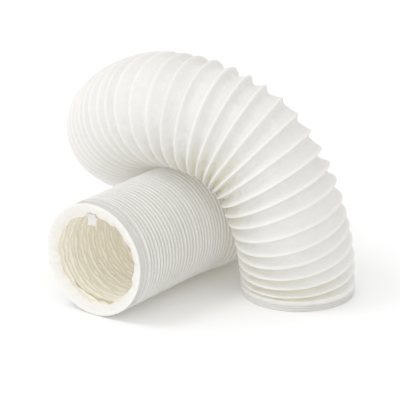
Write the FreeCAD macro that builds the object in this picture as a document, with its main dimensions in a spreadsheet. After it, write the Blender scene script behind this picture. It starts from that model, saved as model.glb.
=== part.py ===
"""Flexible air duct: a helical steel wire inside a folded PVC film, lying in a closed loop.

The hose starts at its open mouth in front, runs back along the floor, turns round and up, crosses over
its own run and comes down to stand on its second open end, the foot. Millimetres, +Z up, origin at the
centre of the foot on the floor.

Positions on the hose are given by a turn count: turn 0 is where the wire starts behind the front cuff,
and the fraction of a turn is the angle round the tube.
"""

import FreeCAD, Part
import Sketcher
import bisect
import math
import os

V = FreeCAD.Vector

# Driving sizes. Each becomes a cell of the sheet, under the same name.
SIZES = {
    "outer_radius": 52.0,  # over the cuffs; the duct's nominal bore is 100
    "wire_radius": 51.3,  # centre of the wire from the hose's centreline
    "wire_diameter": 1.0,
    "fold_top_radius": 50.4,  # where a fold is bonded under the wire
    "fold_root_radius": 42.0,  # bottom of a fold
    "fold_wall": 1.2,  # film thickness measured radially across the steep fold
    "seam_share": 0.06,  # part of a turn between a fold's edge and the wire
    "section_turns": 2.0,  # turns in one section that moves on its own
    "section_gap": 0.3,  # gap between the ends of neighbouring sections
    "front_bends": 4.0,
    "front_slides": 9.0,
    "leg_bends": 5.0,
    "leg_slides": 2.0,
    "foot_sections": 1.0,  # last turns, which stay with the foot
    "loop_sections": 6.0,
    "cuff_wall": 0.8,
    "front_cuff_length": 8.5,
    "lip_radius": 42.0,
    "lip_depth": 3.5,
    "end_ring_diameter": 1.4,
    "front_ring_depth": 9.6,
    "collar_start": 10.6,
    "collar_end": 14.6,
    "front_wire_start": 16.0,  # from the mouth to the first turn of wire
    "foot_cuff_length": 5.0,
    "foot_bore_radius": 50.5,
    "foot_ring_height": 6.0,
    "foot_wire_end": 8.0,  # from the floor to the last turn of wire
    "tape_width": 9.0,
    "tape_length": 12.0,
    "tape_overlap": 7.0,  # how much of its length lies on the lip
    "tape_wall": 0.5,
    "tape_gap": 0.3,
    "tape_angle": -4.0,  # from the top of the mouth
    "rim_depth": 0.0,  # where the mouth and the foot start
    "lip_joint_depth": 1.2,  # thickness of the cuff where the lip folds in
    "collar_radius": 50.8,
    "collar_wall": 0.8,
    "ring_cover": 0.1,  # film over the end rings
}

# The centreline's stations from the mouth to the foot: x, y, z, and the wire's pitch there.
STATIONS = {
    "mouth": (-112.0, -156.0, 52.2, 4.2),
    "run_middle": (-112.0, -80.0, 52.2, 4.4),
    "run_end": (-110.5, -28.0, 52.2, 5.0),
    "rear_entry": (-104.5, 57.0, 52.2, 8.5),
    "rear": (-148.0, 99.0, 53.5, 9.0),
    "rear_exit": (-210.0, 83.0, 69.0, 9.5),
    "lobe": (-223.5, 37.0, 94.5, 12.0),
    "over_run": (-185.5, -7.0, 128.5, 12.0),
    "crown": (-110.0, -34.5, 159.3, 12.0),
    "shoulder": (-40.0, -23.0, 138.0, 12.4),
    "knee": (-3.8, -12.0, 75.0, 12.4),
    "ankle": (0.1, -1.4, 25.0, 11.2),
    "heel": (0.0, -0.05, 12.0, 9.8),
    "sole": (0.0, 0.0, 9.0, 8.0),
    "foot": (0.0, 0.0, 0.0, 8.0),
}
MOUTH_DIRECTION = V(0, 1, 0)
FOOT_DIRECTION = V(0, 0, -1)

PATH_STEPS = 120  # samples of the centreline between two stations
POINTS_PER_TURN = 16  # interpolation points on each turn of a wound edge
TURN_STEP = 0.001  # share of a turn that shows which way the wire runs
WIRE_SIDES = 8  # flats round the wire, which keep the mesh of its long helix light


def make_sheet(doc):
    """A spreadsheet with one aliased cell for each driving size and station coordinate."""
    sheet = doc.addObject("Spreadsheet::Sheet", "Sizes")
    values = dict(SIZES)
    for name, numbers in STATIONS.items():
        for part, number in zip(("x", "y", "z", "pitch"), numbers):
            values[f"{name}_{part}"] = number
    for row, (alias, number) in enumerate(values.items(), start=1):
        sheet.set(f"A{row}", alias)
        sheet.set(f"B{row}", str(number))
        sheet.setAlias(f"B{row}", alias)
    doc.recompute()
    return sheet


def solve_tridiagonal(lower, middle, upper, right):
    """Solution of a tridiagonal system whose right side is a list of vectors."""
    count = len(middle)
    middle = list(middle)
    right = list(right)
    for i in range(1, count):
        factor = lower[i] / middle[i - 1]
        middle[i] -= factor * upper[i - 1]
        right[i] = right[i] - right[i - 1] * factor
    answer = [V()] * count
    answer[-1] = right[-1] * (1 / middle[-1])
    for i in range(count - 2, -1, -1):
        answer[i] = (right[i] - answer[i + 1] * upper[i]) * (1 / middle[i])
    return answer


def spline_tangents(points, knots, first, last):
    """Tangents of the smooth cubic spline through points, clamped to first and last."""
    count = len(points)
    lower = [0.0] * count
    middle = [1.0] * count
    upper = [0.0] * count
    right = [first] + [V()] * (count - 2) + [last]
    for i in range(1, count - 1):
        before = knots[i] - knots[i - 1]
        after = knots[i + 1] - knots[i]
        lower[i] = after
        middle[i] = 2 * (before + after)
        upper[i] = before
        rise_before = (points[i] - points[i - 1]) * (after / before)
        rise_after = (points[i + 1] - points[i]) * (before / after)
        right[i] = (rise_before + rise_after) * 3
    return solve_tridiagonal(lower, middle, upper, right)


class Centreline:
    """The hose's centreline with a frame that doesn't twist, and the turn count along it."""

    def __init__(self, sheet):
        names = list(STATIONS)
        points = [V(*(getattr(sheet, f"{n}_{axis}") for axis in "xyz")) for n in names]
        pitches = [getattr(sheet, f"{n}_pitch") for n in names]
        knots = [0.0]
        for a, b in zip(points, points[1:]):
            knots.append(knots[-1] + (b - a).Length)
        tangents = spline_tangents(points, knots, MOUTH_DIRECTION, FOOT_DIRECTION)
        self.sample(points, tangents, knots)
        self.carry_frame()
        self.count_turns(sheet, pitches)

    def sample(self, points, tangents, knots):
        """Points, unit tangents and arc lengths along the cubic pieces."""
        self.points = []
        self.tangents = []
        self.station_index = []
        for i in range(len(points) - 1):
            span = knots[i + 1] - knots[i]
            self.station_index.append(len(self.points))
            last = 1 if i == len(points) - 2 else 0
            for k in range(PATH_STEPS + last):
                t = k / PATH_STEPS
                place = (
                    points[i] * (1 + t * t * (2 * t - 3))
                    + points[i + 1] * (t * t * (3 - 2 * t))
                    + tangents[i] * (span * t * (1 - t) ** 2)
                    + tangents[i + 1] * (span * t * t * (t - 1))
                )
                slope = (
                    (points[i + 1] - points[i]) * (6 * t * (1 - t) / span)
                    + tangents[i] * ((1 - t) * (1 - 3 * t))
                    + tangents[i + 1] * (t * (3 * t - 2))
                )
                self.points.append(place)
                self.tangents.append(slope.normalize())
        self.station_index.append(len(self.points) - 1)
        self.lengths = [0.0]
        for a, b in zip(self.points, self.points[1:]):
            self.lengths.append(self.lengths[-1] + (b - a).Length)
        self.length = self.lengths[-1]

    def carry_frame(self):
        """The sideways direction at each sample, carried along without twist."""
        self.sides = [V(1, 0, 0)]
        for tangent in self.tangents[1:]:
            side = self.sides[-1] - tangent * self.sides[-1].dot(tangent)
            self.sides.append(side.normalize())

    def count_turns(self, sheet, pitches):
        """Turn count at each sample, from the pitch blended between the stations."""
        places = [self.lengths[i] for i in self.station_index]
        self.turns = [0.0]
        for a, b in zip(self.lengths, self.lengths[1:]):
            middle = (a + b) / 2
            i = min(bisect.bisect_right(places, middle), len(places) - 1)
            share = (middle - places[i - 1]) / (places[i] - places[i - 1])
            pitch = pitches[i - 1] + (pitches[i] - pitches[i - 1]) * share
            self.turns.append(self.turns[-1] + (b - a) / pitch)
        start = self.lookup(self.lengths, self.turns, sheet.front_wire_start)
        self.turns = [turn - start for turn in self.turns]
        end = self.length - sheet.foot_wire_end
        self.last_turn = self.lookup(self.lengths, self.turns, end)

    @staticmethod
    def lookup(xs, ys, x):
        """y at x on the line through the sorted samples; ys holds numbers or vectors."""
        i = min(max(bisect.bisect_right(xs, x), 1), len(xs) - 1)
        share = (x - xs[i - 1]) / (xs[i] - xs[i - 1])
        return ys[i - 1] * (1 - share) + ys[i] * share

    def at_turn(self, turn):
        """Centre point, tangent and sideways direction where the hose has made so many turns."""
        place = self.lookup(self.turns, self.points, turn)
        tangent = self.lookup(self.turns, self.tangents, turn).normalize()
        side = self.lookup(self.turns, self.sides, turn)
        side = (side - tangent * side.dot(tangent)).normalize()
        return place, tangent, side

    def on_helix(self, turn, ahead, radius):
        """The point at a turn's own angle round the tube, moved ahead along it by a share of a turn."""
        place, tangent, side = self.at_turn(turn + ahead)
        angle = 2 * math.pi * turn
        upright = tangent.cross(side)
        return place + side * (radius * math.cos(angle)) + upright * (radius * math.sin(angle))


def spans(first, last, longest):
    """The range from first to last as equal spans no longer than longest."""
    count = math.ceil((last - first) / longest - 1e-6)
    marks = [first + (last - first) * i / count for i in range(count + 1)]
    return list(zip(marks, marks[1:]))


def wound_edges(first, last, corners_at):
    """A smooth edge through each corner of a cross-section carried from turn first to turn last."""
    steps = max(2, round((last - first) * POINTS_PER_TURN))
    turns = [first + (last - first) * i / steps for i in range(steps + 1)]
    edges = []
    for corner_points in zip(*(corners_at(turn) for turn in turns)):
        curve = Part.BSplineCurve()
        curve.interpolate(Points=list(corner_points), Parameters=turns)
        edges.append(curve.toShape())
    return edges


def end_faces(corners):
    """Four-sided faces that close the end of a wound strip, from its first corner to its middle."""
    faces = []
    count = len(corners)
    for i in range(count // 2 - 1):
        outer = Part.makeLine(corners[i], corners[i + 1])
        inner = Part.makeLine(corners[count - 1 - i], corners[count - 2 - i])
        faces.append(Part.makeRuledSurface(outer, inner))
    return faces


def make_wound(doc, sheet, name, first, last, corners_at):
    """A solid wound round the hose; corners_at gives the corners of its cross-section at a turn."""
    gap_turns = sheet.section_gap / (4 * math.pi * sheet.wire_radius)
    first += gap_turns
    last -= gap_turns
    faces = end_faces(corners_at(first)) + end_faces(corners_at(last))
    for a, b in spans(first, last, 1.0):
        edges = wound_edges(a, b, corners_at)
        for here, following in zip(edges, edges[1:] + edges[:1]):
            faces.append(Part.makeRuledSurface(here, following))
    shell = Part.makeShell(faces)
    shell.sewShape()
    solid = Part.makeSolid(shell)
    if solid.Volume < 0:
        solid.reverse()
    wound = doc.addObject("Part::Feature", name)
    wound.Label = name
    wound.Shape = solid
    wound.Placement = FreeCAD.Placement()
    return wound


def make_wire(doc, sheet, line, name, first, last):
    """One section of the steel wire."""
    reach = sheet.wire_diameter / 2

    def corners_at(turn):
        place = line.at_turn(turn)[0]
        centre = line.on_helix(turn, 0.0, sheet.wire_radius)
        ahead = line.on_helix(turn + TURN_STEP, 0.0, sheet.wire_radius)
        along = (ahead - centre).normalize()
        outward = centre - place
        outward = (outward - along * outward.dot(along)).normalize()
        sideways = along.cross(outward)
        angles = [2 * math.pi * i / WIRE_SIDES for i in range(WIRE_SIDES)]
        return [centre + (outward * math.cos(a) + sideways * math.sin(a)) * reach for a in angles]

    return make_wound(doc, sheet, name, first, last, corners_at)


def make_film(doc, sheet, line, name, first, last):
    """One section of the film: a V-shaped fold between neighbouring turns of the wire."""
    seam = sheet.seam_share
    top = sheet.fold_top_radius
    root = sheet.fold_root_radius
    wall = sheet.fold_wall
    profile = [
        (seam, top),
        (0.5, root + wall),
        (1 - seam, top),
        (1 - seam, top - wall),
        (0.5, root),
        (seam, top - wall),
    ]

    def corners_at(turn):
        return [line.on_helix(turn, ahead, radius) for ahead, radius in profile]

    return make_wound(doc, sheet, name, first, last, corners_at)


def origin_plane(body, role):
    """The body's own origin plane with that role."""
    return next(f for f in body.Origin.OriginFeatures if f.Role == role)


def draw_profile(body, corners):
    """A closed outline on the body's XZ plane; corners are pairs of expressions for x and z."""
    sketch = body.newObject("Sketcher::SketchObject", f"{body.Name}_profile")
    sketch.AttachmentSupport = (origin_plane(body, "XZ_Plane"), [""])
    sketch.MapMode = "FlatFace"
    sheet = body.Document.getObject("Sizes")
    spots = []
    for across, along in corners:
        spots.append(V(evaluate(sheet, across), evaluate(sheet, along), 0))
    count = len(spots)
    for i in range(count):
        sketch.addGeometry(Part.LineSegment(spots[i], spots[(i + 1) % count]), False)
    for i in range(count):
        sketch.addConstraint(Sketcher.Constraint("Coincident", i, 2, (i + 1) % count, 1))
    for i, (across, along) in enumerate(corners):
        for kind, text in (("DistanceX", across), ("DistanceY", along)):
            value = evaluate(sheet, text)
            number = sketch.addConstraint(Sketcher.Constraint(kind, -1, 1, i, 1, value))
            sketch.setExpression(f"Constraints[{number}]", text)
    return sketch


def evaluate(sheet, text):
    """The number that an expression over the sheet's cells gives."""
    result = sheet.evalExpression(text)
    return float(getattr(result, "Value", result))


def make_body(doc, name, place):
    """An empty body whose own Z axis runs the way that place turns it."""
    body = doc.addObject("PartDesign::Body", name)
    body.Label = name
    body.Placement = place
    return body


def revolve(body, corners):
    """The body as a ring: its outline turned round the body's Z axis."""
    sketch = draw_profile(body, corners)
    ring = body.newObject("PartDesign::Revolution", f"{body.Name}_ring")
    ring.Profile = sketch
    ring.ReferenceAxis = (sketch, ["V_Axis"])
    ring.Angle = 360
    return body


def make_front_cuff(doc, place):
    """The plain band of film at the mouth, with the first fold turned in behind its rim."""
    body = make_body(doc, "front_cuff", place)
    inside = "Sizes.outer_radius - Sizes.cuff_wall"
    return revolve(
        body,
        [
            ("Sizes.outer_radius", "Sizes.front_cuff_length"),
            ("Sizes.outer_radius", "Sizes.rim_depth"),
            ("Sizes.lip_radius", "Sizes.lip_depth"),
            ("Sizes.lip_radius", "Sizes.lip_depth + Sizes.cuff_wall"),
            (inside, "Sizes.lip_joint_depth"),
            (inside, "Sizes.front_cuff_length"),
        ],
    )


def make_tube(doc, name, place, inner, outer, start, end):
    """A plain round band between two radii and two depths, all given as expressions."""
    body = make_body(doc, name, place)
    return revolve(body, [(inner, start), (outer, start), (outer, end), (inner, end)])


def make_ring(doc, name, place, depth):
    """A closed steel ring across the hose, at a depth along the place's Z axis."""
    ring = doc.addObject("Part::Torus", name)
    ring.Label = name
    ring.setExpression("Radius1", "Sizes.outer_radius - Sizes.end_ring_diameter / 2 - Sizes.ring_cover")
    ring.setExpression("Radius2", "Sizes.end_ring_diameter / 2")
    ring.Placement = place.multiply(FreeCAD.Placement(V(0, 0, depth), FreeCAD.Rotation()))
    return ring


def make_tape(doc, sheet, place):
    """The short tab of tape over the wire's end, on the lip and standing past its inner edge."""
    lip_width = sheet.outer_radius - sheet.lip_radius
    slope = math.degrees(math.atan2(sheet.lip_depth, lip_width))
    tape = doc.addObject("Part::Box", "front_wire_tape")
    tape.Label = "front_wire_tape"
    tape.setExpression("Length", "Sizes.tape_length")
    tape.setExpression("Width", "Sizes.tape_width")
    tape.setExpression("Height", "Sizes.tape_wall")
    round_mouth = FreeCAD.Placement(V(), FreeCAD.Rotation(V(0, 0, 1), sheet.tape_angle))
    lip_edge = V(sheet.lip_radius, 0, sheet.lip_depth)
    down_lip = FreeCAD.Placement(lip_edge, FreeCAD.Rotation(V(0, 1, 0), slope))
    inset = V(sheet.tape_overlap - sheet.tape_length, -sheet.tape_width / 2, -sheet.tape_gap - sheet.tape_wall)
    on_lip = FreeCAD.Placement(inset, FreeCAD.Rotation())
    tape.Placement = place.multiply(round_mouth).multiply(down_lip).multiply(on_lip)
    return tape


def numbered(*kinds):
    """Pairs of kind and number for groups given as kind and count."""
    return [(kind, i) for kind, count in kinds for i in range(1, round(count) + 1)]


def section_ranges(sheet, line):
    """Name, number, first turn and last turn of every section of wire and film."""
    turns = sheet.section_turns
    fronts = numbered(("front_bend", sheet.front_bends), ("front_stretch", sheet.front_slides))
    legs = numbered(
        ("leg_bend", sheet.leg_bends), ("leg_stretch", sheet.leg_slides), ("foot", sheet.foot_sections)
    )
    ranges = []
    for k, (kind, number) in enumerate(fronts, start=1):
        first = turns * (len(fronts) - k)
        ranges.append((kind, number, first, first + turns))
    for k, (kind, number) in enumerate(legs):
        first = line.last_turn - turns * (len(legs) - k)
        ranges.append((kind, number, first, first + turns))
    loop_first = turns * len(fronts)
    loop_last = line.last_turn - turns * len(legs)
    step = (loop_last - loop_first) / sheet.loop_sections
    for kind, number in numbered(("loop", sheet.loop_sections)):
        first = loop_first + step * (number - 1)
        ranges.append((kind, number, first, first + step))
    return ranges


def build(doc):
    """Every piece of the duct, in the order from mouth to foot."""
    sheet = make_sheet(doc)
    line = Centreline(sheet)
    mouth = FreeCAD.Placement(line.points[0], FreeCAD.Rotation(V(0, 0, 1), V(0, 0, -1), V(0, 1, 0), "ZXY"))
    foot = FreeCAD.Placement()
    pieces = [make_front_cuff(doc, mouth)]
    pieces.append(
        make_tube(
            doc,
            "front_collar",
            mouth,
            "Sizes.collar_radius",
            "Sizes.collar_radius + Sizes.collar_wall",
            "Sizes.collar_start",
            "Sizes.collar_end",
        )
    )
    pieces.append(make_ring(doc, "front_end_ring", mouth, sheet.front_ring_depth))
    pieces.append(make_tape(doc, sheet, mouth))
    for kind, number, first, last in section_ranges(sheet, line):
        wire_name = f"{kind}_wire_{number}"
        film_name = f"{kind}_film_{number}"
        pieces.append(make_wire(doc, sheet, line, wire_name, first, last))
        film_last = min(last, line.last_turn - 1)
        pieces.append(make_film(doc, sheet, line, film_name, first, film_last))
    pieces.append(
        make_tube(
            doc,
            "foot_cuff",
            foot,
            "Sizes.foot_bore_radius",
            "Sizes.outer_radius - Sizes.cuff_wall / 2",
            "Sizes.rim_depth",
            "Sizes.foot_cuff_length",
        )
    )
    pieces.append(make_ring(doc, "foot_end_ring", foot, sheet.foot_ring_height))
    return pieces


def check(doc, pieces):
    """Stops if any object failed or any piece has no sound solid."""
    for item in doc.Objects:
        if "Invalid" in item.State or "Error" in item.State:
            raise RuntimeError(f"{item.Label} failed: {item.State}")
    for piece in pieces:
        shape = piece.Shape
        if shape.isNull() or not shape.isValid() or not shape.Solids or shape.Volume <= 0:
            raise RuntimeError(f"{piece.Label} is not a sound solid")


def main():
    doc = FreeCAD.newDocument("FlexibleAirDuct")
    pieces = build(doc)
    doc.recompute()
    check(doc, pieces)
    os.makedirs("parts", exist_ok=True)
    for piece in pieces:
        piece.Shape.exportStep(f"parts/{piece.Label}.step")


main()
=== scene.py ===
"""Looks of the flexible air duct: wound film, wire, cuffs and tape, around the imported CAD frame. Metres."""

from collections import namedtuple

import bmesh
import bpy
import numpy as np
from mathutils import Matrix, Vector


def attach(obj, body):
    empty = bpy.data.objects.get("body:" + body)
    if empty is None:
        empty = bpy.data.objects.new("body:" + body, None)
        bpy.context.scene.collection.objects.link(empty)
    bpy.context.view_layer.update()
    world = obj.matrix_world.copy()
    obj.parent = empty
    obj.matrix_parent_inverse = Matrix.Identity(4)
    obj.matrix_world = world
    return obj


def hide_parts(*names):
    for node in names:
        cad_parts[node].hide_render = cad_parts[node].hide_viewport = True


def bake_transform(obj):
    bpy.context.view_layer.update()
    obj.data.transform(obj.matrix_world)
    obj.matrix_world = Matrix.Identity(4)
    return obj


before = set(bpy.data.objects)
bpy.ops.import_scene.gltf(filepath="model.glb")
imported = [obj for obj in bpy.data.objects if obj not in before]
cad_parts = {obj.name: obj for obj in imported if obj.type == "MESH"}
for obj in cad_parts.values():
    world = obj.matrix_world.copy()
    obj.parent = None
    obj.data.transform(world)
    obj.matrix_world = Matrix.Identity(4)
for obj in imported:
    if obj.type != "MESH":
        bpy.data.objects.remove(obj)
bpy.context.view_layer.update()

TURN = 2 * np.pi

# The centreline's stations, mouth to foot, as in the CAD source: x, y, z and the wire's pitch there.
STATIONS = {
    "mouth": (-0.112, -0.156, 0.0522, 0.0042),
    "run_middle": (-0.112, -0.080, 0.0522, 0.0044),
    "run_end": (-0.1105, -0.028, 0.0522, 0.0050),
    "rear_entry": (-0.1045, 0.057, 0.0522, 0.0085),
    "rear": (-0.148, 0.099, 0.0535, 0.0090),
    "rear_exit": (-0.210, 0.083, 0.069, 0.0095),
    "lobe": (-0.2235, 0.037, 0.0945, 0.0120),
    "over_run": (-0.1855, -0.007, 0.1285, 0.0120),
    "crown": (-0.110, -0.0345, 0.1593, 0.0120),
    "shoulder": (-0.040, -0.023, 0.138, 0.0124),
    "knee": (-0.0038, -0.0120, 0.075, 0.0124),
    "ankle": (0.0001, -0.0014, 0.025, 0.0112),
    "heel": (0.0, -0.00005, 0.012, 0.0098),
    "sole": (0.0, 0.0, 0.009, 0.0080),
    "foot": (0.0, 0.0, 0.0, 0.0080),
}
MOUTH_HEADING = (0, 1, 0)  # the way the centreline leaves the mouth
FOOT_HEADING = (0, 0, -1)  # and arrives at the foot
PATH_STEPS = 120  # samples of the centreline between two stations

# Wire and beads
OUTER_RADIUS = 0.052  # over the film on the wire
WIRE_RADIUS = 0.0513  # centre of the wire from the centreline
WIRE_THICKNESS = 0.001
WIRE_START = 0.016  # from the mouth to the first turn
WIRE_END = 0.0080  # from the floor to the last turn
BEAD_RADIUS = 0.0007  # film over the wire
BEAD_SHARE = 0.2  # widest half bead, as a share of the pitch
SAG = 0.0004  # how far the wire's round is off true

# Film and folds
FILM = 0.0002  # film thickness
FILM_START = 0.0150  # from the mouth to the first cut of the wound film
FILM_END = 0.0068  # from the floor to its last cut
FOLD_LENGTH = 0.0106  # film from a wire to the bottom of the fold
FOLD_SHAPE = 1.3  # how much a rounded fold takes up over a straight one
LEAST_DEPTH = 0.003  # of a fold pulled wide open
FLAT_DEPTH = 1e-6  # where the film lies flat
LEAST_PITCH = 0.0009
CLOSE_PITCH = 0.012  # folds closer than this round off and crinkle more
ROUNDNESS_LOOSE = 1.5  # 1 is a sharp V; more gives a rounder bottom
ROUNDNESS_CLOSE = 0.8  # how much rounder the closest folds are
ROUNDNESS_SQUEEZED = 0.1  # how much sharper squeezed folds are
DEPTH_VARIATION = 0.10
LEAN = 0.10  # how far a fold's bottom strays to one side, as a share of the pitch
DROOP = 0.24  # how far gravity pulls it up against the wire above it, as a share of the pitch

# Folds squeezed on the inner side of a bend
PILLOW = 1.3  # how much they puff out between the wires
BUMP = 0.0008  # how far their ridges stand proud in small bumps
SQUEEZED_DEPTH = 0.35  # share of its depth that such a fold loses
BUCKLE = 0.5  # how far it zigzags sideways, as a share of the pitch
PINCH = 0.0022  # how far it creases in at each zigzag

# Crinkles at a fold's bottom, growing with the depth to this power
CRINKLE_OPEN = 0.0011
CRINKLE_CLOSE = 0.0012
CRINKLE_GROWTH = 1.5

# Painted shade of the film, kept as the mesh attribute "valley": 0 on the wire, 1 deep in a close fold
CLOSE_SHADE = 1.1
SINGLE_PLY_SHADE = 0.2  # painted shade of the single film beside the doubled film on the wire
FIRST_DROP = 0.05  # share of a fold's depth over which that shade comes in

# Waves (waves per turn, size, phase). Sizes are shares of what each kind of wave moves.
WIRE_WAVES = (0.31, 0.035, 0.4), (0.77, 0.03, 2.0), (1.27, 0.02, 4.1), (2.23, 0.012, 1.3)  # uneven winding
RADIUS_WAVES = (0.23, 0.6, 0.9), (2.0, 0.4, 1.1), (3.07, 0.3, 2.9)
LEAN_WAVES = (0.37, 0.35, 1.7), (1.83, 0.35, 0.2), (3.41, 0.25, 4.0)
DEPTH_WAVES = (0.53, 0.5, 2.6), (2.17, 0.3, 5.5), (4.29, 0.2, 1.0)
CRINKLE_WAVES = (7.71, 0.3, 1.9), (11.36, 0.28, 3.7), (16.85, 0.22, 5.2), (23.4, 0.18, 1.1), (33.7, 0.12, 0.3)
BUCKLE_WAVES = (13.19, 0.55, 0.6), (19.62, 0.45, 4.4)
BUMP_WAVES = (41.3, 0.6, 0.0), (27.6, 0.4, 1.0)

# Meshes
AROUND = 160  # columns round the tube
WIRE_SIDES = 6
RING_SIDES = 8
WIRE_STEPS = 48  # rings on each turn of wire
RING_STEPS = 96
BEAD_ROWS = (0, 40, 80)  # degrees from the crest over the wire's bead
FOLD_ROWS = (0.18, 0.42, 0.70, 1.0)  # from the bead to the bottom of the fold
BEAD_EDGE = WIRE_RADIUS + BEAD_RADIUS * np.cos(np.radians(BEAD_ROWS[-1]))
SPARE_BEFORE, SPARE_AFTER = 1.6, 0.6  # turns made past each end of a section before it is cut

# Sections, as in the CAD source
SECTION_TURNS = 2
FRONT_SECTIONS = ("front_bend", 4), ("front_stretch", 9)
LEG_SECTIONS = ("leg_bend", 5), ("leg_stretch", 2), ("foot", 1)
LOOP_SECTIONS = 6

# Ends
TOP_SHARE = 0.75  # where the top of the mouth lies round the hose, as a share of a turn
LIP_SAG = 0.0028  # how far the lip hangs down at the top
LIP_WAVE = 0.0008
LIP_WAVES = (3, 0.5, 0.4), (7, 0.4, 1.8), (16, 0.4, 0.9), (27, 0.4, 2.2), (41, 0.3, 5.0)
LIP_RAG = 0.0009
COLLAR_RAG = 0.0012
DENT = 0.0003  # dents in the collar and the foot's band
LINES_SHARE = 0.95  # where the lines on the foot are deepest, as a share of a turn
LINE_DEPTH = 0.0006
LINE_SHADES = 0.15, 0.5, 0.9  # painted shade: of the whole band, of every line, and more where the lines are deepest
RING_RADIUS = 0.0512
RING_THICKNESS = 0.0012
FRONT_RING_PLACE = 0.0096  # from the mouth
FOOT_RING_PLACE = 0.0060  # from the floor
TAPE_TOP = -94  # degrees round the hose
TAPE_HALF_WIDTH = 0.0048
TAPE_THICKNESS = 0.0004
TAPE_LIFT = 0.0008  # how far the tab stands off the lip
TAPE_CURL = 0.0006
TAPE_RIPPLE = 0.0003

# Materials: octaves of noise
COLOUR_DETAIL = 4
BUMP_DETAIL = 2

# Stage, lights and camera
FLOOR_REACH = 15
FLOOR_HEIGHT = -0.0003
VIEW_GAMMA = 1.6
LIGHT_TARGET = (-0.11, -0.02, 0.08)
CAMERA_AZIMUTH, CAMERA_ELEVATION = 36.668, 20.286  # degrees: from the front towards the right, and up
CAMERA_BACK, CAMERA_RIGHT, CAMERA_UP = 2.94026, -0.08847, 0.08183  # from the origin, along its own axes
CAMERA_LENS, CAMERA_SENSOR, CAMERA_REACH = 292.29, 36, 20


def look_up(x, xs, ys):
    """Rows of ys at x, on straight lines between the samples xs."""
    x = np.asarray(x, float)
    return np.stack([np.interp(x, xs, column) for column in ys.T], -1)


def unit(vectors):
    return vectors / np.linalg.norm(vectors, axis=-1, keepdims=True)


def waves(turn, terms):
    """A fixed sum of waves along the winding: (waves per turn, size, phase) for each term."""
    return sum(size * np.cos(TURN * rate * turn + phase) for rate, size, phase in terms)


class Centreline:
    """The hose's centreline: place, direction and untwisted sideways direction against the turn count."""

    def __init__(self):
        table = np.array(list(STATIONS.values()))
        points, pitches = table[:, :3], table[:, 3]
        knots = np.r_[0, np.cumsum(np.linalg.norm(np.diff(points, axis=0), axis=1))]
        slopes = self.spline_slopes(points, knots, MOUTH_HEADING, FOOT_HEADING)
        places, directions = [], []
        for i in range(len(points) - 1):
            span = knots[i + 1] - knots[i]
            t = np.arange(PATH_STEPS + (i == len(points) - 2))[:, None] / PATH_STEPS
            places.append(
                points[i] * (1 + t * t * (2 * t - 3))
                + points[i + 1] * (t * t * (3 - 2 * t))
                + slopes[i] * (span * t * (1 - t) ** 2)
                + slopes[i + 1] * (span * t * t * (t - 1))
            )
            directions.append(
                (points[i + 1] - points[i]) * (6 * t * (1 - t) / span)
                + slopes[i] * ((1 - t) * (1 - 3 * t))
                + slopes[i + 1] * (t * (3 * t - 2))
            )
        self.places = np.concatenate(places)
        self.directions = unit(np.concatenate(directions))
        steps = np.linalg.norm(np.diff(self.places, axis=0), axis=1)
        self.lengths = np.r_[0, np.cumsum(steps)]
        self.sides = self.untwisted_sides()
        at_stations = self.lengths[::PATH_STEPS]
        middles = (self.lengths[1:] + self.lengths[:-1]) / 2
        turns = np.r_[0, np.cumsum(steps / np.interp(middles, at_stations, pitches))]
        self.turns = turns - np.interp(WIRE_START, self.lengths, turns)
        self.last_turn = np.interp(self.lengths[-1] - WIRE_END, self.lengths, self.turns)

    @staticmethod
    def spline_slopes(points, knots, first, last):
        """Slopes at the stations of the smooth cubic spline, clamped at both ends."""
        gaps = np.diff(knots)
        count = len(points)
        system = np.eye(count)
        right = np.zeros((count, 3))
        right[0], right[-1] = first, last
        for i in range(1, count - 1):
            before, after = gaps[i - 1], gaps[i]
            system[i, i - 1 : i + 2] = after, 2 * (before + after), before
            rise_before = (points[i] - points[i - 1]) * after / before
            rise_after = (points[i + 1] - points[i]) * before / after
            right[i] = 3 * (rise_before + rise_after)
        return np.linalg.solve(system, right)

    def untwisted_sides(self):
        sides = [np.array((1.0, 0, 0))]
        for direction in self.directions[1:]:
            side = sides[-1] - direction * (sides[-1] @ direction)
            sides.append(side / np.linalg.norm(side))
        return np.array(sides)

    def axes(self, turn):
        """Place, direction, sideways and upright directions at each turn count."""
        place = look_up(turn, self.turns, self.places)
        direction = unit(look_up(turn, self.turns, self.directions))
        side = look_up(turn, self.turns, self.sides)
        side = unit(side - direction * (side * direction).sum(-1, keepdims=True))
        return place, direction, side, np.cross(direction, side)

    def on_tube(self, turn, angle, radius):
        """Points at an angle round the tube, at a radius."""
        place, _, side, upright = self.axes(turn)
        c, s = np.cos(angle)[..., None], np.sin(angle)[..., None]
        return place + np.asarray(radius)[..., None] * (side * c + upright * s)

    def on_tube_at(self, length, angle, radius):
        """Points at an angle and a radius, a distance along the hose from the mouth."""
        return self.on_tube(np.interp(length, self.lengths, self.turns), angle, radius)

    def even_pitch(self, turn):
        """Distance from one turn of wire to the next along the centreline."""
        before, after = (np.interp(turn + half, self.turns, self.lengths) for half in (-0.5, 0.5))
        return np.maximum(after - before, LEAST_PITCH)

    def local_pitch(self, turn, angle):
        """Distance from one turn of wire to the next at this side of the tube."""
        before = self.on_tube(turn - 0.5, angle, OUTER_RADIUS + 0 * turn)
        after = self.on_tube(turn + 0.5, angle, OUTER_RADIUS + 0 * turn)
        direction = unit(look_up(turn, self.turns, self.directions))
        return np.maximum(((after - before) * direction).sum(-1), LEAST_PITCH)

    def turn_at(self, length):
        return float(np.interp(length, self.lengths, self.turns))

    def at(self, turn):
        return Vector(look_up(turn, self.turns, self.places))

    def heading(self, turn):
        return Vector(unit(look_up(turn, self.turns, self.directions)))


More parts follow.
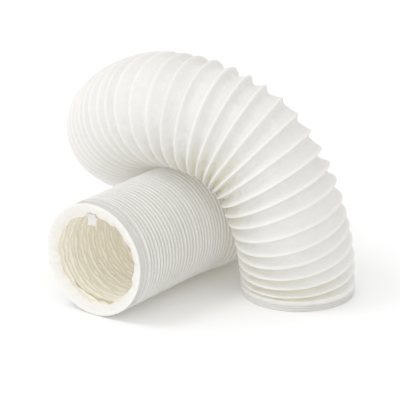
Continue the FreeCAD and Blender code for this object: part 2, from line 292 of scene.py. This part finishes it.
def grid_faces(rows, columns, shift):
    """Four-sided faces of a grid closed round its columns; the last column joins shift rows on."""
    row, column = np.meshgrid(np.arange(rows - 1), np.arange(columns), indexing="ij")
    following = (column + 1) % columns
    ahead = np.where(column + 1 == columns, shift, 0)
    corners = [
        (row, column),
        (row + ahead, following),
        (row + 1 + ahead, following),
        (row + 1, column),
    ]
    valid = (row + 1 + ahead < rows).ravel()
    return np.stack([(r * columns + c).ravel() for r, c in corners], -1)[valid]


def face_normals(points, faces):
    """Smooth normals at the points of a grid of four-sided faces."""
    a, b, c, d = (points[faces[:, i]] for i in range(4))
    face = np.cross(c - a, d - b)
    total = np.zeros_like(points)
    for i in range(4):
        np.add.at(total, faces[:, i], face)
    return total / np.maximum(np.linalg.norm(total, axis=1, keepdims=True), 1e-12)


def cut_sheet(points, normals, valley, faces, planes):
    """A sheet cut at planes (place, direction to keep); its corners, normals, painted shade and faces."""
    mesh = bpy.data.meshes.new("sheet")
    mesh.from_pydata(points.tolist(), [], faces.tolist())
    solid = bmesh.new()
    solid.from_mesh(mesh)
    normal_layer = solid.verts.layers.float_vector.new("normal")
    valley_layer = solid.verts.layers.float.new("valley")
    for vertex, normal, shade in zip(solid.verts, normals.tolist(), valley.tolist()):
        vertex[normal_layer] = normal
        vertex[valley_layer] = shade
    for place, direction in planes:
        everything = solid.verts[:] + solid.edges[:] + solid.faces[:]
        bmesh.ops.bisect_plane(
            solid, geom=everything, dist=1e-7, plane_co=place, plane_no=direction, clear_inner=True
        )
    loose = [v for v in solid.verts if not v.link_faces]
    bmesh.ops.delete(solid, geom=loose, context="VERTS")
    solid.verts.index_update()
    points = np.array([v.co[:] for v in solid.verts])
    normals = unit(np.array([v[normal_layer][:] for v in solid.verts]))
    valley = np.array([v[valley_layer] for v in solid.verts])
    faces = [[v.index for v in face.verts] for face in solid.faces]
    solid.free()
    bpy.data.meshes.remove(mesh)
    return points, normals, valley, faces


def link(name, mesh):
    obj = bpy.data.objects.new(name, mesh)
    bpy.context.scene.collection.objects.link(obj)
    return obj


def film_object(name, points, normals, valley, faces, thickness=FILM, inside=0):
    """A film piece with real thickness: the sheet, its inner copy and the rims between them."""
    count = len(points)
    sheet_faces = [list(face) for face in faces]
    inner_faces = [[v + count for v in reversed(face)] for face in faces]
    directed = {(a, b) for face in sheet_faces for a, b in zip(face, face[1:] + face[:1])}
    rims = [[b, a, a + count, b + count] for a, b in sorted(directed) if (b, a) not in directed]
    mesh = bpy.data.meshes.new(name)
    both = np.concatenate([points, points - normals * thickness])
    mesh.from_pydata(both.tolist(), [], sheet_faces + inner_faces + rims)
    mesh.shade_smooth()
    mesh.normals_split_custom_set_from_vertices(np.concatenate([normals, -normals]).tolist())
    # painted shade on the sheet ("valley"); painted warm light and glow on the inner copy and wherever inside
    # is given ("inside")
    shades = {
        "valley": np.r_[valley, np.zeros(count)],
        "inside": np.r_[np.zeros(count) + inside, np.ones(count)],
    }
    for label, values in shades.items():
        attribute = mesh.attributes.new(label, "FLOAT", "POINT")
        attribute.data.foreach_set("value", values.astype(np.float32))
    return link(name, mesh)


def solid_object(name, points, faces):
    mesh = bpy.data.meshes.new(name)
    mesh.from_pydata(points.tolist(), [], faces)
    mesh.validate()
    shape = bmesh.new()
    shape.from_mesh(mesh)
    bmesh.ops.recalc_face_normals(shape, faces=shape.faces)
    shape.to_mesh(mesh)
    shape.free()
    mesh.shade_smooth()
    return link(name, mesh)


def closeness(pitch):
    """0 for wide folds, rising towards 1 as the turns of wire close up."""
    return np.clip(1 - pitch / CLOSE_PITCH, 0, 1)


def fold_outline(pitch, depth, squeeze):
    """Way along the pitch and radius of the rows over the wire, down the fold and up its far side."""
    bead_angles = np.radians(BEAD_ROWS)
    folds = np.array(FOLD_ROWS)[None, :, None]
    bead_width = np.minimum(BEAD_RADIUS, BEAD_SHARE * pitch)
    bead_x = bead_width * (np.sin(bead_angles) / np.sin(bead_angles[-1]))[None, :, None]
    bead_r = (WIRE_RADIUS + BEAD_RADIUS * np.cos(bead_angles))[None, :, None] + 0 * bead_x
    fold_x = bead_width + folds * (pitch / 2 - bead_width)
    roundness = ROUNDNESS_LOOSE + ROUNDNESS_CLOSE * closeness(pitch)
    roundness = np.maximum(roundness - ROUNDNESS_SQUEEZED * squeeze, 1)
    fall = 1 - (1 - folds ** (1 + PILLOW * squeeze)) ** roundness
    fold_r = BEAD_EDGE - depth * fall
    down_x = np.concatenate([bead_x, fold_x], 1)
    down_r = np.concatenate([bead_r, fold_r], 1)
    x = np.concatenate([down_x, pitch - down_x[:, -2:0:-1]], 1)
    r = np.concatenate([down_r, down_r[:, -2:0:-1]], 1)
    return x, r


def fold_rows(line, wire, angle):
    """Turn count, radius and painted shade of each fold's rows; wire is the turn of wire before the fold."""
    middle = wire + 0.5
    pitch = line.local_pitch(middle[:, 0], angle)[:, None]
    squeeze = np.clip(1 - pitch / line.even_pitch(middle), 0, 1)
    step_here, step_next = waves(wire, WIRE_WAVES), waves(wire + 1, WIRE_WAVES)
    pitch = np.maximum(pitch * (1 + step_next - step_here), LEAST_PITCH)
    depth = np.sqrt(np.maximum(FOLD_LENGTH**2 - (pitch / 2) ** 2, LEAST_DEPTH**2) / FOLD_SHAPE)
    depth = depth * (1 + DEPTH_VARIATION * waves(middle, DEPTH_WAVES)) * (1 - SQUEEZED_DEPTH * squeeze)
    fade = np.clip(line.last_turn - middle, 0, 1)  # the film lies flat past the wire's end
    depth = np.maximum(depth * fade, FLAT_DEPTH)
    x, r = fold_outline(pitch, depth, squeeze)
    drop = np.clip((BEAD_EDGE - r) / depth, 0, 1) * fade

    steepness = look_up(middle, line.turns, line.directions)[..., 2]
    open_share = np.clip(pitch / CLOSE_PITCH, 0, 1) ** 2
    buckle = waves(middle, BUCKLE_WAVES)
    x = x + pitch * drop * (DROOP * steepness * open_share + LEAN * waves(middle, LEAN_WAVES))
    x = x + pitch * drop * BUCKLE * squeeze * buckle
    crinkle = CRINKLE_OPEN + (CRINKLE_CLOSE - CRINKLE_OPEN) * closeness(pitch)
    r = r + crinkle * drop**CRINKLE_GROWTH * waves(middle, CRINKLE_WAVES)
    r = r - PINCH * squeeze * drop * np.abs(buckle)
    r = r + SAG * waves(wire + x / pitch, RADIUS_WAVES) + BUMP * squeeze * (1 + waves(wire, BUMP_WAVES))

    fraction = x / pitch
    turn = wire + fraction + (1 - fraction) * step_here + fraction * step_next
    # painted shade: light grey on the single film off the wire, growing darker and warmer deep in close folds
    single_ply = np.clip(drop / FIRST_DROP, 0, 1) * SINGLE_PLY_SHADE
    close_shade = np.clip(CLOSE_SHADE - pitch / CLOSE_PITCH, 0, 1)
    return turn, r, single_ply + (1 - single_ply) * np.sqrt(drop) * close_shade


def wound_film(line, name, first_plane, last_plane):
    """One section of film between two planes across the hose, given by their turn counts."""
    whole = np.arange(np.floor(first_plane - SPARE_BEFORE), np.ceil(last_plane + SPARE_AFTER) + 1)
    share = np.arange(AROUND) / AROUND
    wire = (whole[:, None] + share)[:, None, :]
    turn, radius, valley = fold_rows(line, wire, TURN * share + 0 * wire[:, 0])
    folds, rows_each, _ = turn.shape
    points = line.on_tube(turn, TURN * share + 0 * turn, radius).reshape(-1, 3)
    faces = grid_faces(folds * rows_each, AROUND, rows_each)
    normals = face_normals(points, faces)

    turn, valley = turn.reshape(-1), valley.reshape(-1)
    near = (turn > first_plane - 0.5) & (turn < last_plane + 0.5)
    faces = faces[near[faces].any(1)]
    used = np.unique(faces)
    renumber = np.full(len(points), -1)
    renumber[used] = np.arange(len(used))
    planes = (
        (line.at(first_plane), line.heading(first_plane)),
        (line.at(last_plane), -line.heading(last_plane)),
    )
    return film_object(name, *cut_sheet(points[used], normals[used], valley[used], renumber[faces], planes))


def wound_wire(line, name, first, last):
    """One section of wire inside the film's beads."""
    turns = np.linspace(first - 1, last + 1, int((last - first + 2) * WIRE_STEPS))
    shifted = turns + waves(turns, WIRE_WAVES)
    first, last = np.interp((first, last), shifted, turns)
    turns = np.linspace(first, last, int((last - first) * WIRE_STEPS))
    radius = WIRE_RADIUS + SAG * waves(turns, RADIUS_WAVES)
    centre = line.on_tube(turns + waves(turns, WIRE_WAVES), TURN * turns, radius)
    along = unit(np.gradient(centre, axis=0))
    outward = centre - look_up(turns, line.turns, line.places)
    outward = unit(outward - along * (outward * along).sum(-1, keepdims=True))
    sideways = np.cross(along, outward)
    angle = np.arange(WIRE_SIDES) * TURN / WIRE_SIDES
    ring = outward[:, None] * np.cos(angle)[:, None] + sideways[:, None] * np.sin(angle)[:, None]
    points = (centre[:, None] + ring * WIRE_THICKNESS / 2).reshape(-1, 3)
    faces = grid_faces(len(turns), WIRE_SIDES, 0)[:, ::-1].tolist()
    faces.append(list(range(WIRE_SIDES)))
    faces.append(list(range(len(points) - 1, len(points) - 1 - WIRE_SIDES, -1)))
    return solid_object(name, points, faces)


def band(line, name, lengths, radii, valley, inside=0):
    """A band of film round the hose: rows of distance along the hose and radius, for each column."""
    angle = np.arange(AROUND) * TURN / AROUND + 0 * lengths
    points = line.on_tube_at(lengths, angle, radii).reshape(-1, 3)
    faces = grid_faces(len(lengths), AROUND, 0)
    normals = face_normals(points, faces)
    valley = (valley + 0 * lengths).reshape(-1)
    inside = (inside + 0 * lengths).reshape(-1)
    return film_object(name, points, normals, valley, faces.tolist(), inside=inside)


def outline_columns(outline):
    """The columns of an outline's table, each ready to spread round the hose."""
    return np.array(outline).T[..., None]


def mouth_cuff(line):
    """The band at the mouth: outside, rounded rim, the flat lip, and the fold back to the end ring."""
    share = np.arange(AROUND) / AROUND
    wavy = LIP_WAVE * waves(share, LIP_WAVES)
    ragged = LIP_RAG * waves(share, ((9, 0.5, 2.0), (14, 0.5, 0.3), (23, 0.4, 4.0)))
    ragged = ragged - LIP_SAG * np.maximum(np.cos(TURN * (share - TOP_SHARE)), 0) ** 2
    # distance behind the mouth, radius, shares of wave and rag, painted shade, share of the inner side's
    # painted warm light and glow
    outline = (
        (0.0090, 0.0508, 0.0, 0.0, 0.4, 1.0),
        (0.0086, 0.0488, 0.0, 0.2, 0.2, 1.0),
        (0.0074, 0.0455, 0.0, 0.7, 0.1, 1.0),
        (0.0062, 0.0430, 0.0, 1.0, 0.0, 0.9),
        (0.0054, 0.0421, 0.3, 1.1, 0.0, 0.5),
        (0.0043, 0.0424, 0.8, 1.0, 0.1, 0.3),
        (0.0034, 0.0436, 1.2, 0.7, 0.25, 0.15),
        (0.0022, 0.0455, 1.2, 0.4, 0.15, 0.1),
        (0.0012, 0.0480, 0.8, 0.1, 0.1, 0.0),
        (0.0004, 0.0504, 0.3, 0.0, 0.0, 0.0),
        (0.0000, 0.0513, 0.3, 0.0, 0.0, 0.0),
        (0.0003, 0.0518, 0.3, 0.0, 0.0, 0.0),
        (0.0012, 0.0520, 0.4, 0.0, 0.0, 0.0),
        (0.0020, 0.0516, 0.4, 0.0, 0.4, 0.0),
        (0.0030, 0.0511, 0.5, 0.0, 0.8, 0.0),
        (0.0056, 0.0509, 0.5, 0.0, 0.6, 0.0),
        (0.0080, 0.0510, 0.3, 0.0, 0.8, 0.0),
        (0.0087, 0.0516, 0.0, 0.0, 0.3, 0.0),
        (0.0092, 0.0511, 0.0, 0.0, 0.3, 0.0),
    )
    depth, radius, wave_share, rag_share, shade, inside = outline_columns(outline)
    lengths = depth + wave_share * wavy
    radii = radius + rag_share * ragged
    return band(line, "front_cuff_band", lengths, radii, shade, inside)


def collar(line):
    """The plain band behind the end ring, drawn in a little between ring and first turn."""
    share = np.arange(AROUND) / AROUND
    dents = DENT * waves(share, ((5, 0.5, 0.2), (12, 0.5, 1.2)))
    ragged = COLLAR_RAG * waves(share, ((8, 0.5, 1.0), (13, 0.5, 2.3), (21, 0.4, 3.0)))
    # distance behind the mouth, radius, share of rag, painted shade, share of the inner side's painted warm
    # light and glow
    outline = (
        (0.0092, 0.0508, 0.0, 0.4, 0.0),
        (0.0090, 0.0516, 0.0, 0.2, 0.0),
        (0.0096, 0.0520, 0.0, 0.0, 0.0),
        (0.0102, 0.0516, 0.0, 0.2, 0.0),
        (0.0108, 0.0506, 0.0, 0.9, 0.0),
        (0.0122, 0.0503, 0.0, 0.7, 0.0),
        (0.0138, 0.0505, 0.0, 0.7, 0.0),
        (0.0150, 0.0512, 0.0, 0.2, 0.0),
        (0.0156, 0.0511, 0.0, 0.3, 0.0),
        (0.0155, 0.0500, 0.0, 0.4, 0.0),
        (0.0143, 0.0468, 0.5, 0.3, 0.4),
        (0.0130, 0.0441, 1.0, 0.0, 0.8),
        (0.0121, 0.0433, 1.1, 0.0, 0.6),
        (0.0112, 0.0441, 1.0, 0.0, 0.8),
        (0.0101, 0.0458, 0.6, 0.1, 1.0),
        (0.0094, 0.0490, 0.1, 0.2, 1.0),
    )
    depth, radius, rag_share, shade, inside = outline_columns(outline)
    radii = radius + dents + rag_share * ragged
    return band(line, "front_collar_band", depth + 0 * share, radii, shade, inside)


def foot_band(line):
    """The plain band at the foot, with a bead over its end ring and wound lines that fade to one side, and
    painted shade over the band and in its lines.
    """
    share = np.arange(AROUND) / AROUND
    dents = DENT * waves(share, ((4, 0.5, 0.7), (11, 0.5, 2.2)))
    shown = 0.5 + 0.5 * np.cos(TURN * (share - LINES_SHARE))
    # height over the floor, radius, share of the lines' depth, painted shade
    outline = (
        (0.0074, 0.0507, 0.0, 0.5),
        (0.0070, 0.0512, 0.0, 0.4),
        (0.0066, 0.0519, 0.0, 0.1),
        (0.0060, 0.0521, 0.0, 0.0),
        (0.0054, 0.0518, 0.0, 0.1),
        (0.0049, 0.0511, -0.5, 0.6),
        (0.0044, 0.0512, 0.0, 0.3),
        (0.0038, 0.0514, 0.7, 0.0),
        (0.0032, 0.0512, -0.3, 0.4),
        (0.0027, 0.0511, -0.6, 0.6),
        (0.0021, 0.0513, 0.6, 0.1),
        (0.0015, 0.0512, 0.0, 0.3),
        (0.0010, 0.0511, -0.5, 0.5),
        (0.0004, 0.0514, 0.2, 0.1),
        (0.0001, 0.0511, 0.0, 0.1),
        (0.0006, 0.0507, 0.0, 0.2),
        (0.0040, 0.0506, 0.0, 0.2),
    )
    height, radius, line_share, shade = outline_columns(outline)
    whole_shade, line_shade, deep_shade = LINE_SHADES
    radii = radius + dents + LINE_DEPTH * line_share * shown
    # painted shade, darkest in the lines where they are deepest
    shades = whole_shade + shade * (line_shade + deep_shade * shown)
    return band(line, "foot_cuff_band", line.lengths[-1] - height + 0 * share, radii, shades)


def end_ring(line, name, length):
    """A closed steel ring under the film of an end."""
    steps = np.arange(RING_STEPS) / RING_STEPS
    angle = np.arange(RING_SIDES)[:, None] * TURN / RING_SIDES
    radii = RING_RADIUS + RING_THICKNESS / 2 * np.cos(angle) + 0 * steps
    lengths = length + RING_THICKNESS / 2 * np.sin(angle) + 0 * steps
    points = line.on_tube_at(lengths, TURN * steps + 0 * lengths, radii).reshape(-1, 3)
    faces = grid_faces(RING_SIDES, RING_STEPS, 0).tolist()
    last = (RING_SIDES - 1) * RING_STEPS
    for column in range(RING_STEPS):
        following = (column + 1) % RING_STEPS
        faces.append([last + column, last + following, following, column])
    return solid_object(name, points, faces)


def tape_tab(line):
    """The short tape over the wire's end: on the lip at the top of the mouth, and hanging past it."""
    path = (0.0026, 0.0425), (0.0033, 0.0410), (0.0042, 0.0394), (0.0044, 0.0376), (0.0038, 0.0357)
    path += (0.0030, 0.0338), (0.0024, 0.0320)
    across = np.linspace(-1, 1, 9)
    count = len(across)
    points = []
    for i, (depth, radius) in enumerate(path):
        curl = TAPE_CURL * (i / len(path)) * across**2 + TAPE_RIPPLE * np.sin(2.1 * i + 1.7 * across)
        angle = np.radians(TAPE_TOP) + TAPE_HALF_WIDTH * across / radius
        points.append(line.on_tube_at(depth - TAPE_LIFT + curl, angle, radius + 0 * across))
    points = np.concatenate(points)
    faces = np.array([
        [r * count + c, r * count + c + 1, (r + 1) * count + c + 1, (r + 1) * count + c]
        for r in range(len(path) - 1)
        for c in range(count - 1)
    ])
    normals = face_normals(points, faces)
    flat = np.zeros(len(points))
    return film_object("front_wire_tape_tab", points, normals, flat, faces.tolist(), TAPE_THICKNESS)


def material(
    name,
    light,
    dark,
    roughness,
    metallic=0,
    noise_scale=60,
    bump=0.15,
    bump_scale=400,
    bump_height=0.0003,
    tints=(),
    glow=(),
    through=0,
):
    """A procedural material: noise-mixed colour, tints and glow by mesh attribute for painted shade and
    light, noise bump, light through it.
    """
    made = bpy.data.materials.new(name)
    made.use_nodes = True
    nodes, links = made.node_tree.nodes, made.node_tree.links
    nodes.clear()
    output = nodes.new("ShaderNodeOutputMaterial")
    shader = nodes.new("ShaderNodeBsdfPrincipled")
    place = nodes.new("ShaderNodeTexCoord")

    def noise(scale, detail):
        made_noise = nodes.new("ShaderNodeTexNoise")
        made_noise.inputs["Scale"].default_value = scale
        made_noise.inputs["Detail"].default_value = detail
        links.new(place.outputs["Object"], made_noise.inputs["Vector"])
        return made_noise.outputs["Fac"]

    def mixed(a, b, factor):
        """The colour a mixed with the plain colour b; a is a plain colour too, or an output."""
        mix = nodes.new("ShaderNodeMix")
        mix.data_type = "RGBA"
        mix.inputs["B"].default_value = (*b, 1)
        if isinstance(a, tuple):
            mix.inputs["A"].default_value = (*a, 1)
        else:
            links.new(a, mix.inputs["A"])
        links.new(factor, mix.inputs["Factor"])
        return mix.outputs["Result"]

    def shading(label, low, high, strength):
        """A mesh attribute between two values, as a share of a strength."""
        attribute = nodes.new("ShaderNodeAttribute")
        attribute.attribute_name = label
        scale = nodes.new("ShaderNodeMapRange")
        scale.inputs["From Min"].default_value = low
        scale.inputs["From Max"].default_value = high
        scale.inputs["To Max"].default_value = strength
        links.new(attribute.outputs["Fac"], scale.inputs["Value"])
        return scale.outputs["Result"]

    colour = mixed(light, dark, noise(noise_scale, COLOUR_DETAIL))
    for label, low, high, tint, strength in tints:
        colour = mixed(colour, tint, shading(label, low, high, strength))
    if glow:
        total = nodes.new("ShaderNodeMath")
        for socket, entry in zip(total.inputs, glow):
            links.new(shading(*entry), socket)
        links.new(total.outputs[0], shader.inputs["Emission Strength"])
        links.new(colour, shader.inputs["Emission Color"])
    links.new(colour, shader.inputs["Base Color"])
    shader.inputs["Roughness"].default_value = roughness
    shader.inputs["Metallic"].default_value = metallic
    relief = nodes.new("ShaderNodeBump")
    relief.inputs["Strength"].default_value = bump
    relief.inputs["Distance"].default_value = bump_height
    links.new(noise(bump_scale, BUMP_DETAIL), relief.inputs["Height"])
    links.new(relief.outputs["Normal"], shader.inputs["Normal"])
    surface = shader.outputs[0]
    if through:
        translucent = nodes.new("ShaderNodeBsdfTranslucent")
        links.new(colour, translucent.inputs["Color"])
        links.new(relief.outputs["Normal"], translucent.inputs["Normal"])
        both = nodes.new("ShaderNodeMixShader")
        both.inputs["Fac"].default_value = through
        links.new(surface, both.inputs[1])
        links.new(translucent.outputs[0], both.inputs[2])
        surface = both.outputs[0]
    links.new(surface, output.inputs["Surface"])
    return made


INNER_TINT = ("inside", 0, 1, (0.95, 0.90, 0.76), 0.85)  # light that has come through the film is warmer
INNER_GLOW = ("inside", 0, 1, 0.16)  # and some of it is lost after many plies, which this puts back
NO_GLOW = ("valley", 0, 1, 0)

film_look = material(
    "film_white_pvc",
    light=(0.93, 0.93, 0.92),
    dark=(0.86, 0.86, 0.84),
    noise_scale=170,
    tints=(
        # painted shade: light grey on the single film, warm olive deep in close folds
        ("valley", 0, 0.2, (0.775, 0.78, 0.78), 1),
        ("valley", 0.2, 1, (0.70, 0.64, 0.34), 1),
        INNER_TINT,
    ),
    # painted light: the film glows deep in close folds and on its inner side, though it is no lamp
    glow=(("valley", 0.2, 1, 0.15), INNER_GLOW),
    roughness=0.45,
    through=0.4,
    bump=1.0,
    bump_scale=200,
    bump_height=0.0012,
)
cuff_look = material(
    "cuff_white_pvc",
    light=(0.90, 0.90, 0.885),
    dark=(0.84, 0.84, 0.825),
    # painted shade: grey on the cuffs' creases, rims and lines; the inner side gets painted warm light
    tints=(("valley", 0, 1, (0.45, 0.45, 0.45), 0.95), INNER_TINT),
    glow=(NO_GLOW, INNER_GLOW),
    roughness=0.45,
    through=0.4,
    bump=1.0,
    bump_scale=170,
    bump_height=0.0015,
)
wire_look = material(
    "wire_drawn_steel",
    light=(0.62, 0.62, 0.63),
    dark=(0.45, 0.45, 0.46),
    roughness=0.3,
    metallic=1,
    noise_scale=300,
)
tape_look = material(
    "tape_white",
    light=(0.58, 0.57, 0.53),
    dark=(0.50, 0.49, 0.45),
    roughness=0.6,
    bump=0.4,
)
floor_look = material(
    "floor_pale",
    light=(0.95, 0.95, 0.95),
    dark=(0.93, 0.93, 0.93),
    roughness=0.9,
    bump=0.05,
)

# A section's name has {} where its nodes have film or wire. Inner is the end nearer the root.
Section = namedtuple("Section", "name inner outer inner_body outer_body")


def section_names(kinds):
    return [f"{kind}_{{}}_{i}" for kind, count in kinds for i in range(1, count + 1)]


def all_sections(line):
    """The front run's sections from the loop to the mouth, the leg's down to the foot, then the loop's."""
    fronts, legs = section_names(FRONT_SECTIONS), section_names(LEG_SECTIONS)
    front_bodies = ["root"] + [f"front_link_{k}" for k in range(1, len(fronts))] + ["front_cuff"]
    leg_bodies = ["root"] + [f"leg_link_{k}" for k in range(1, len(legs) - 1)] + ["foot", "foot"]
    loop_first = SECTION_TURNS * len(fronts)
    leg_first = line.last_turn - SECTION_TURNS * len(legs)
    sections = []
    for k, name in enumerate(fronts):
        inner = loop_first - SECTION_TURNS * k
        sections.append(Section(name, inner, inner - SECTION_TURNS, front_bodies[k], front_bodies[k + 1]))
    for k, name in enumerate(legs):
        inner = leg_first + SECTION_TURNS * k
        sections.append(Section(name, inner, inner + SECTION_TURNS, leg_bodies[k], leg_bodies[k + 1]))
    step = (leg_first - loop_first) / LOOP_SECTIONS
    for k in range(LOOP_SECTIONS):
        first, last = loop_first + step * k, loop_first + step * (k + 1)
        sections.append(Section(f"loop_{{}}_{k + 1}", first, last, "root", "root"))
    return sections


def place_piece(line, piece, node, look, section):
    """Material and replaced node of one piece of a section; a piece of one body is attached to it, and one
    between two bodies only has its transform baked in.
    """
    piece.data.materials.append(look)
    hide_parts(node)
    if section.inner_body == section.outer_body:
        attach(piece, section.inner_body)
        return
    inner, outer = np.array(line.at(section.inner)), np.array(line.at(section.outer))
    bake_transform(piece)


def make_sections(line):
    """The wound film and wire. The film runs past the wire to the cuffs at both ends."""
    film_first = line.turn_at(FILM_START)
    film_last = line.turn_at(line.lengths[-1] - FILM_END)
    for section in all_sections(line):
        low, high = sorted((section.inner, section.outer))
        film_low = film_first if low == 0 else low
        film_high = film_last if np.isclose(high, line.last_turn) else high
        film_node, wire_node = section.name.format("film"), section.name.format("wire")
        film = wound_film(line, film_node + "_sheet", film_low, film_high)
        wire = wound_wire(line, wire_node + "_steel", low, high)
        place_piece(line, film, film_node, film_look, section)
        place_piece(line, wire, wire_node, wire_look, section)


def make_ends(line):
    foot_ring_length = line.lengths[-1] - FOOT_RING_PLACE
    ends = (
        (mouth_cuff(line), "front_cuff", "front_cuff", cuff_look),
        (collar(line), "front_collar", "front_cuff", cuff_look),
        (tape_tab(line), "front_wire_tape", "front_cuff", tape_look),
        (end_ring(line, "front_end_ring_steel", FRONT_RING_PLACE), "front_end_ring", "front_cuff", wire_look),
        (foot_band(line), "foot_cuff", "foot", cuff_look),
        (end_ring(line, "foot_end_ring_steel", foot_ring_length), "foot_end_ring", "foot", wire_look),
    )
    for piece, node, body, look in ends:
        piece.data.materials.append(look)
        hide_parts(node)
        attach(piece, body)


def pale_floor():
    """A wide plain floor just under the object."""
    mesh = bpy.data.meshes.new("floor")
    sides = (-1, -1), (1, -1), (1, 1), (-1, 1)
    corners = [(FLOOR_REACH * x, FLOOR_REACH * y, FLOOR_HEIGHT) for x, y in sides]
    mesh.from_pydata(corners, [], [(0, 1, 2, 3)])
    mesh.materials.append(floor_look)
    link("floor", mesh)


def area_light(name, place, size, power):
    light = bpy.data.lights.new(name, "AREA")
    light.size = size
    light.energy = power
    obj = link(name, light)
    obj.location = place
    obj.rotation_euler = (Vector(LIGHT_TARGET) - Vector(place)).to_track_quat("-Z", "Y").to_euler()


def studio():
    """White surroundings and two soft lights."""
    scene = bpy.context.scene
    scene.world = bpy.data.worlds.new("studio")
    scene.world.use_nodes = True
    background = scene.world.node_tree.nodes["Background"]
    background.inputs["Color"].default_value = (1, 1, 1, 1)
    background.inputs["Strength"].default_value = 1
    scene.view_settings.view_transform = "Standard"
    scene.view_settings.gamma = VIEW_GAMMA
    area_light("key", (-0.7, -0.7, 1.5), size=0.6, power=7)
    area_light("fill", (0.1, -1.6, 0.35), size=0.8, power=5)


def front_right_camera():
    """A long lens that looks down from the front right."""
    azimuth, elevation = np.radians((CAMERA_AZIMUTH, CAMERA_ELEVATION))
    flat = np.cos(elevation)
    back = np.array([np.sin(azimuth) * flat, -np.cos(azimuth) * flat, np.sin(elevation)])
    right = np.array([np.cos(azimuth), np.sin(azimuth), 0])
    up = np.cross(back, right)
    data = bpy.data.cameras.new("camera")
    data.lens = CAMERA_LENS
    data.sensor_width = CAMERA_SENSOR
    data.clip_end = CAMERA_REACH
    camera = link("camera", data)
    matrix = np.eye(4)
    matrix[:3, :3] = np.stack([right, up, back], 1)
    matrix[:3, 3] = back * CAMERA_BACK + right * CAMERA_RIGHT + up * CAMERA_UP
    camera.matrix_world = Matrix(matrix.tolist())
    bpy.context.scene.camera = camera


centreline = Centreline()
make_sections(centreline)
make_ends(centreline)
pale_floor()
studio()
front_right_camera()
